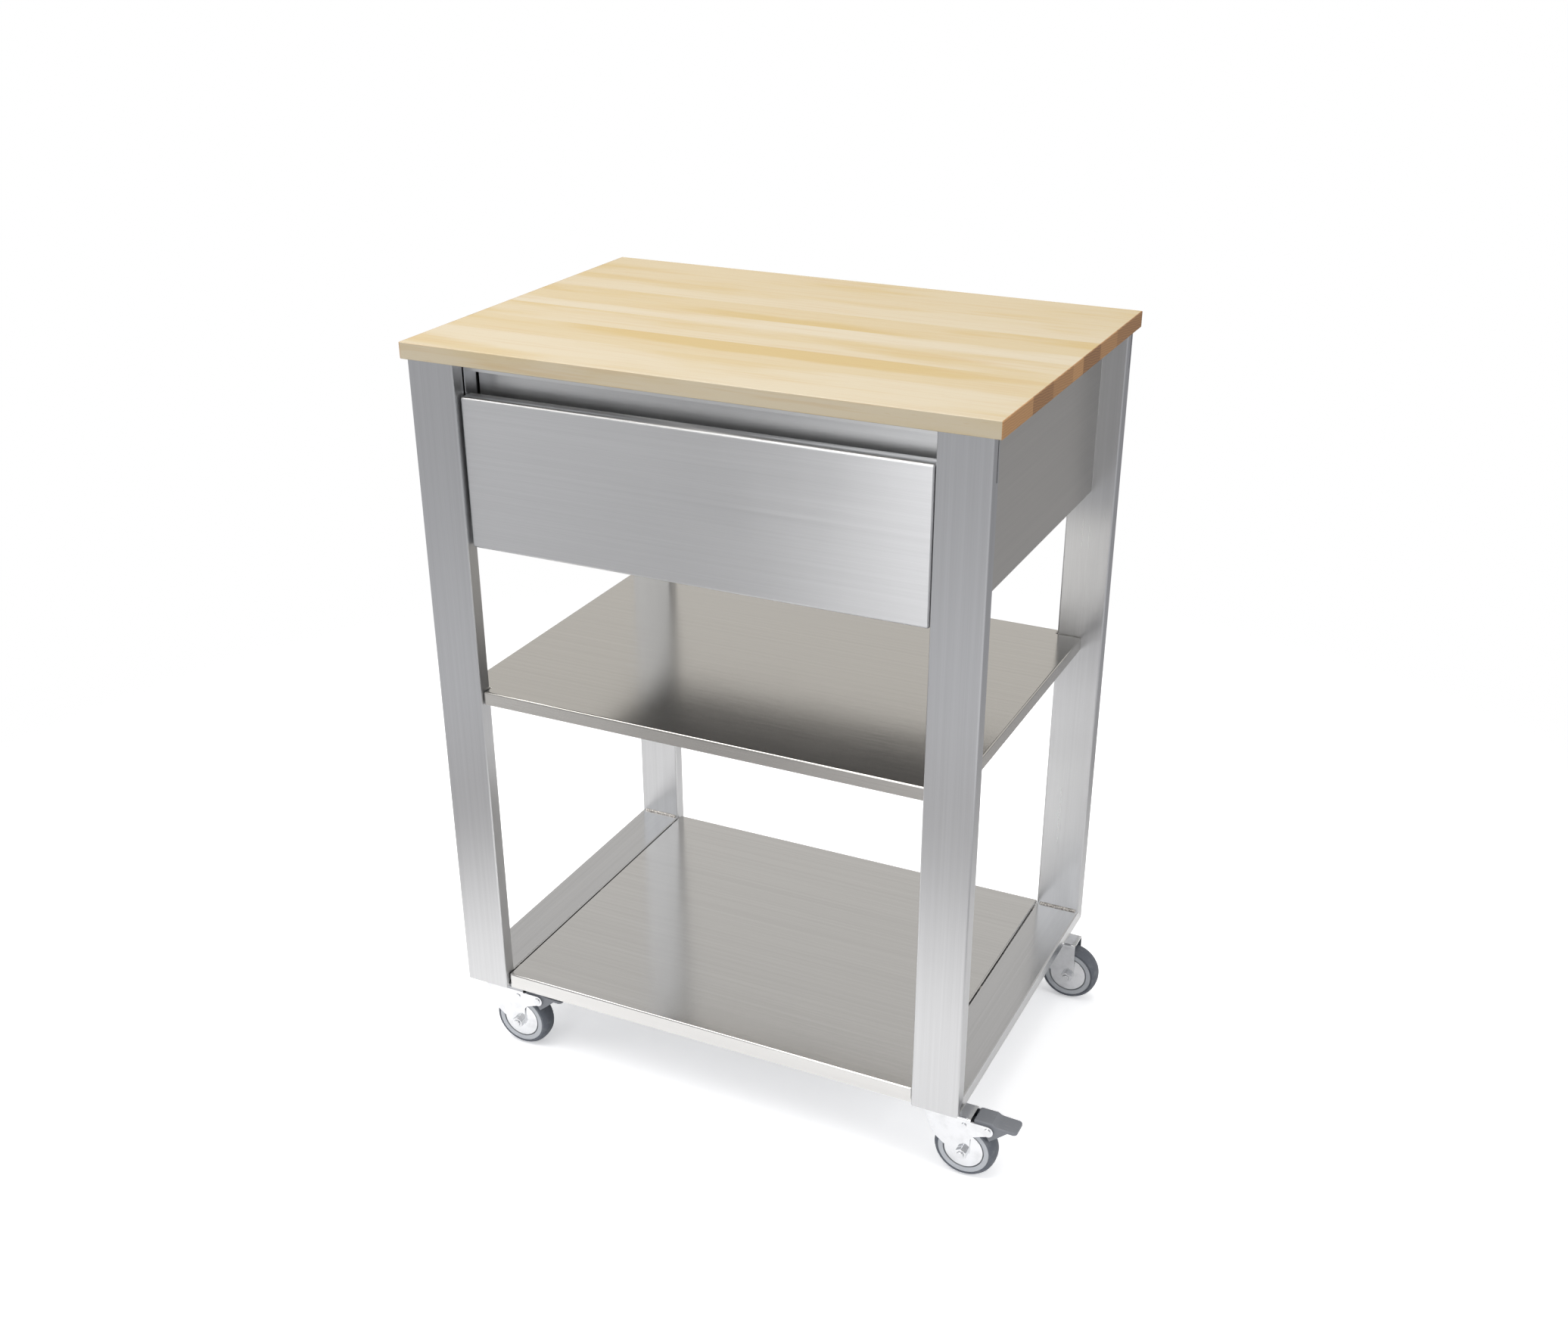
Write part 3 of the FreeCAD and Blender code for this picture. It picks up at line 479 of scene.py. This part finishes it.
def turned(name, section):
    """A ring turned about the Y axis from a closed section of radius and depth."""
    start = Vector((section[0][0], section[0][1], 0.0)) * MM
    deselect()
    bpy.ops.mesh.primitive_plane_add(size=MM, location=start)
    ring = bpy.context.object
    ring.name = name
    bpy.ops.object.transform_apply(location=True)
    bpy.ops.object.mode_set(mode="EDIT")
    bpy.ops.mesh.select_all(action="SELECT")
    bpy.ops.mesh.merge(type="CENTER")
    last = section[0]
    for point in section[1:] + section[:1]:
        step = Vector((point[0] - last[0], point[1] - last[1], 0.0)) * MM
        bpy.ops.mesh.extrude_region_move(TRANSFORM_OT_translate={"value": step})
        last = point
    bpy.ops.mesh.select_all(action="SELECT")
    bpy.ops.mesh.remove_doubles(threshold=MERGE_DISTANCE)
    bpy.ops.mesh.select_all(action="SELECT")
    bpy.ops.mesh.spin(steps=TURNING_STEPS, angle=2 * math.pi, center=(0, 0, 0), axis=(0, 1, 0))
    bpy.ops.object.mode_set(mode="OBJECT")
    clean(ring, TURNED_ANGLE)
    return ring


def mirrored_section(half):
    """A section closed across the wheel's middle from the points of its back half."""
    return half + [(radius, -depth) for radius, depth in reversed(half)]


# ---- wheels ------------------------------------------------------------------------------------

# Millimetres. The parts of a wheel are turned from these and the sizes read from the frame.
TYRE_WALL = 4.3
TYRE_INSET = 0.05
# The shoulder, out from the side wall and in from the side; the crown, down from the tread and in.
TYRE_SHOULDER = ((0.6, 0.5), (1.0, 1.2), (2.1, 2.3))
TYRE_CROWN = ((0.9, 4.6), (0.25, 7.6), (0.0, 11.0))
RIM_FACE = 6.1
CORE_BORE = 4.1
HUB_RADIUS = 9.5
HUB_INSET = 1.1
WEB_INSET = 3.5
CORE_CHAMFER = 0.5
GUARD_BORE = 4.05
GUARD_REST = 1.0
GUARD_SPACE = 0.03
GUARD_SHEET = 0.85
GUARD_COLLAR = 7.0


def wheel_sizes():
    """Radii and half width in millimetres, read from the frame."""
    low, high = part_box("tyre_front_left")
    core_low, core_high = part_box("wheel_core_front_left")
    return (high.z - low.z) / 2 / MM, (core_high.z - core_low.z) / 2 / MM, (high.y - low.y) / 2 / MM


def wheel_centre(place):
    low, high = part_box("tyre_" + place)
    return (low + high) / 2


def turned_tyre(radius, rim, half):
    """A soft tyre: flat side walls, a step at the shoulder and a crowned tread."""
    wall = radius - TYRE_WALL
    section = [(rim, half - TYRE_INSET), (wall, half - TYRE_INSET)]
    section += [(wall + out, half - inward) for out, inward in TYRE_SHOULDER]
    section += [(radius - down, half - inward) for down, inward in TYRE_CROWN]
    return turned("tyre", mirrored_section(section))


def turned_core(rim, half):
    """The moulded wheel core: rim, sunk groove, web and hub."""
    groove = rim - RIM_FACE
    section = [
        (CORE_BORE, half - HUB_INSET),
        (HUB_RADIUS - 0.3, half - HUB_INSET),
        (HUB_RADIUS, half - HUB_INSET - 0.3),
        (HUB_RADIUS, half - WEB_INSET),
        (groove, half - WEB_INSET),
        (groove, half - 0.4),
        (groove + 0.4, half),
        (rim - CORE_CHAMFER, half),
        (rim, half - CORE_CHAMFER),
    ]
    return turned("wheel_core", mirrored_section(section))


def turned_guard(groove, half):
    """One dished guard: a flat middle, a slope and a rolled edge."""
    inside = half + GUARD_REST
    section = [
        (GUARD_BORE, inside - GUARD_SPACE),
        (10.6, inside - GUARD_SPACE),
        (11.3, inside - 0.15),
        (groove - 2.6, half - 0.45),
        (groove - 1.5, half - 0.75),
        (groove - 1.25, half - 1.2),
        (groove - 1.9, half - 1.3),
        (11.0, inside - GUARD_SHEET),
        (GUARD_COLLAR, inside - GUARD_SHEET),
        (GUARD_COLLAR, half - 0.7),
        (GUARD_BORE, half - 0.7),
    ]
    return turned("thread_guard", section)


def both_sides(piece, name):
    """The piece and its mirror image across the wheel's middle, as one mesh."""
    pick(piece)
    bpy.ops.object.duplicate(linked=False)
    twin = bpy.context.object
    twin.scale = (1, -1, 1)
    bpy.ops.object.transform_apply(scale=True)
    clean(twin, TURNED_ANGLE)
    return joined([piece, twin], name)


def make_wheels(materials):
    radius, rim, half = wheel_sizes()
    tyre = turned_tyre(radius, rim, half)
    core = turned_core(rim, half)
    guards = both_sides(turned_guard(rim - RIM_FACE, half), "guards")
    models = {
        "tyre": (tyre, "tyre", "tyre", "wheel_"),
        "wheel_core": (core, "core", "wheel_plastic", "wheel_"),
        "thread_guards": (guards, "chrome", "chrome", "caster_"),
    }
    for part, (model, finish, slot, body) in models.items():
        for place in PLACES:
            node = part + "_" + place
            piece = copied(model, node + "_piece", wheel_centre(place))
            finished(piece, materials[finish], body + place, slot, node)
        bpy.data.objects.remove(model)


# ---- smooth pieces -----------------------------------------------------------------------------


# Node, finish and slot.
FRAME_PIECES = (
    ("worktop", "wood", "wood"),
    ("middle_shelf", "shelf", "satin_steel"),
    ("bottom_shelf", "bottom_shelf", "satin_steel"),
    ("front_apron", "apron", "satin_steel"),
    ("back_panel", "cross_panel", "satin_steel"),
    ("weld_beads", "weld", "weld"),
)
SIDE_PIECES = (
    ("leg_front_", "leg", "brushed_steel"),
    ("leg_rear_", "leg", "brushed_steel"),
    ("bottom_rail_", "rail", "brushed_steel"),
    ("side_panel_", "panel", "satin_steel"),
)
CASTER_PIECES = (
    ("fork_", "chrome", "chrome"),
    ("axle_bolt_", "zinc", "zinc"),
)
# How far the hard edges of a node are rounded.
EASES = {
    "front_apron": 0.3 * MM,
    "fork_": 0.35 * MM,
    "axle_bolt_": 0.5 * MM,
    "fork_pins_": 0.4 * MM,
    "brake_pedal_": 0.6 * MM,
}


def make_smooth_pieces(materials):
    """Folded, rounded and turned parts whose bends are seen close up."""

    def smooth(name, end, finish, slot, body):
        smooth_node(name + end, materials[finish], body, slot, EASES.get(name, 0.0))

    for name, finish, slot in FRAME_PIECES:
        smooth(name, "", finish, slot, "frame")
    for side in SIDES:
        for name, finish, slot in SIDE_PIECES:
            smooth(name, side, finish, slot, "frame")
    for place in PLACES:
        smooth("caster_head_", place, "chrome", "chrome", "frame")
    smooth("drawer_front", "", "drawer_front", "brushed_steel", "drawer")
    for place in PLACES:
        for name, finish, slot in CASTER_PIECES:
            smooth(name, place, finish, slot, "caster_" + place)
    for place in BRAKED:
        smooth("fork_pins_", place, "zinc", "zinc", "caster_" + place)
        smooth("brake_pedal_", place, "pedal", "pedal_plastic", "pedal_" + place)


# ---- stage -------------------------------------------------------------------------------------

CAMERA_PLACE = (0.83913, -1.75272, 1.37523)
CAMERA_AZIMUTH = 25.32
CAMERA_ELEVATION = 27.83
SENSOR = 36.0
CAMERA_LENS = 41.11
CAMERA_SHIFT = (-0.0040, 0.0670)
FLOOR_RADIUS = 4.0
FLOOR_WHITE = (0.93, 0.935, 0.95)
FLOOR_SHADE_GREY = (0.36, 0.36, 0.37)
FLOOR_GLOW = (0.96, 0.975, 1.0)
GLOW_STRENGTH = 0.36
# Metres from the cart's middle: where painted shade turns the sheet grey in what it reflects, and
# where it thins out.
GREYING = (0.42, 1.05)
THINNING = (0.95, 1.55)


def make_camera():
    data = bpy.data.cameras.new("camera")
    data.sensor_width = SENSOR
    data.lens = CAMERA_LENS
    data.shift_x, data.shift_y = CAMERA_SHIFT
    camera = bpy.data.objects.new("camera", data)
    camera.location = CAMERA_PLACE
    camera.rotation_euler = (math.radians(90 - CAMERA_ELEVATION), 0, math.radians(CAMERA_AZIMUTH))
    bpy.context.scene.collection.objects.link(camera)
    bpy.context.scene.camera = camera


def make_floor():
    """A white sheet that glows for the camera, a painted light that lifts the shadows on it, with
    painted shade that dims it away from the cart in what it reflects, and that thins out further
    off.
    """
    deselect()
    bpy.ops.mesh.primitive_circle_add(
        vertices=96, radius=FLOOR_RADIUS, fill_type="NGON", location=(0, 0, 0)
    )
    floor = bpy.context.object
    floor.name = "floor"
    material, g = new_material("floor_sheet")
    away = g.node("ShaderNodeVectorMath", {"operation": "LENGTH"}, (g.place(),))["Value"]
    white = colour(*FLOOR_WHITE)
    graded = g.mixed(away.step(*GREYING), white, colour(*FLOOR_SHADE_GREY))
    seen = g.node("ShaderNodeLightPath")["Is Camera Ray"]
    dim = g.node("ShaderNodeBsdfPrincipled", {}, {"Base Color": graded, "Roughness": 1.0})[0]
    # Painted light: for camera rays the sheet glows, lifting the cart's shadows on it.
    bright = g.node("ShaderNodeBsdfPrincipled", {}, {
        "Base Color": white,
        "Roughness": 1.0,
        "Emission Color": colour(*FLOOR_GLOW),
        "Emission Strength": GLOW_STRENGTH,
    })[0]
    sheet = g.node("ShaderNodeMixShader", {}, (seen, dim, bright))[0]
    clear = g.node("ShaderNodeBsdfTransparent")[0]
    mix = g.node("ShaderNodeMixShader", {}, (away.step(*THINNING), sheet, clear))[0]
    g.node("ShaderNodeOutputMaterial", {}, {"Surface": mix})
    floor.data.materials.append(material)


# The room's tones, by direction.
ROOM_SIDE = (0.52, 0.52, 0.53)
ROOM_TOP = (0.56, 0.545, 0.52)
BACKDROP = (0.74, 0.72, 0.69)
GROUND_FAR = (0.50, 0.50, 0.515)
GROUND_NEAR = (1.04, 1.04, 1.06)
GROUND_BAND = (0.10, 0.10, 0.105)
GROUND_LEFT = (0.8, 0.8, 0.8)
GROUND_BACK = (0.24, 0.24, 0.25)
# Where each tone fades in, as parts of a unit direction. Sideways is x over y.
TOP_RISE = (0.35, 0.9)
NEAR_RISE = (0.22, 0.56)
FRONT_RISE = (-0.3, -0.6)
BACK_RISE = (0.0, 0.5)
BAND_EDGES = ((0.37, 0.47), (0.61, 0.55))
LEFT_EDGES = ((0.56, 0.62), (0.76, 0.72))


def between(value, edges):
    """1 between two soft edges, 0 outside them."""
    return value.step(*edges[0]) * value.step(*edges[1])


def make_world():
    """White behind the cart for the camera, and a softly graded grey room for everything else."""
    world = bpy.data.worlds.new("room")
    world.use_nodes = True
    bpy.context.scene.world = world
    g = Graph(world.node_tree)
    x, y, z = g.axes(g.node("ShaderNodeTexCoord")["Generated"])
    backdrop = y.step(0.1, 0.75) * z.maths("ABSOLUTE").step(0.85, 0.35)
    room = g.mixed(z.step(*TOP_RISE), colour(*ROOM_SIDE), colour(*ROOM_TOP))
    room = g.mixed(backdrop * z.step(-0.05, 0.1), room, colour(*BACKDROP))
    down = z * -1.0
    ground = g.mixed(down.step(*NEAR_RISE), colour(*GROUND_FAR), colour(*GROUND_NEAR))
    sideways = x / y
    in_front = y.step(*FRONT_RISE)
    band = between(sideways, BAND_EDGES) * in_front
    ground = g.mixed(band * 0.92, ground, colour(*GROUND_BAND))
    left_side = between(sideways, LEFT_EDGES) * in_front
    ground = g.mixed(left_side * 0.8, ground, colour(*GROUND_LEFT))
    ground = g.mixed(y.step(*BACK_RISE) * 0.7, ground, colour(*GROUND_BACK))
    room = g.mixed(down.step(0.0, 0.12), room, ground)
    dim = g.node("ShaderNodeBackground", {}, {"Color": room, "Strength": 1.0})[0]
    white = g.node("ShaderNodeBackground", {}, {"Color": colour(1, 1, 1), "Strength": 1.0})[0]
    seen = g.node("ShaderNodeLightPath")["Is Camera Ray"]
    mix = g.node("ShaderNodeMixShader", {}, (seen, dim, white))[0]
    g.node("ShaderNodeOutputWorld", {}, {"Surface": mix})


WHITE_LIGHT = (1.0, 1.0, 1.0)
WARM_LIGHT = (1.0, 0.985, 0.96)
# Name, place, height aimed at over the cart's middle, width, height, watts and tint.
SOFTBOXES = (
    ("overhead", (-0.5, -0.4, 3.0), 0.4, 2.8, 2.8, 90.0, WARM_LIGHT),
    ("left", (-2.6, -1.6, 1.6), 0.5, 1.2, 2.0, 18.0, WHITE_LIGHT),
    ("front", (-0.3, -3.4, 1.6), 0.5, 1.6, 2.6, 30.0, WHITE_LIGHT),
    ("right", (2.9, -0.4, 1.5), 0.5, 1.2, 1.6, 28.0, WHITE_LIGHT),
)


def softbox(name, place, aim, width, height, watts, tint):
    data = bpy.data.lights.new(name, "AREA")
    data.shape = "RECTANGLE"
    data.size = width
    data.size_y = height
    data.energy = watts
    data.color = tint
    lamp = bpy.data.objects.new(name, data)
    lamp.location = place
    look = Vector((0, 0, aim)) - Vector(place)
    lamp.rotation_euler = look.to_track_quat("-Z", "Y").to_euler()
    bpy.context.scene.collection.objects.link(lamp)


def make_lights():
    for box in SOFTBOXES:
        softbox(*box)


def main():
    make_camera()
    materials = make_materials()
    dress_frame(materials)
    make_wheels(materials)
    make_smooth_pieces(materials)
    make_floor()
    make_world()
    make_lights()
    bpy.context.scene.view_settings.view_transform = "Standard"


main()
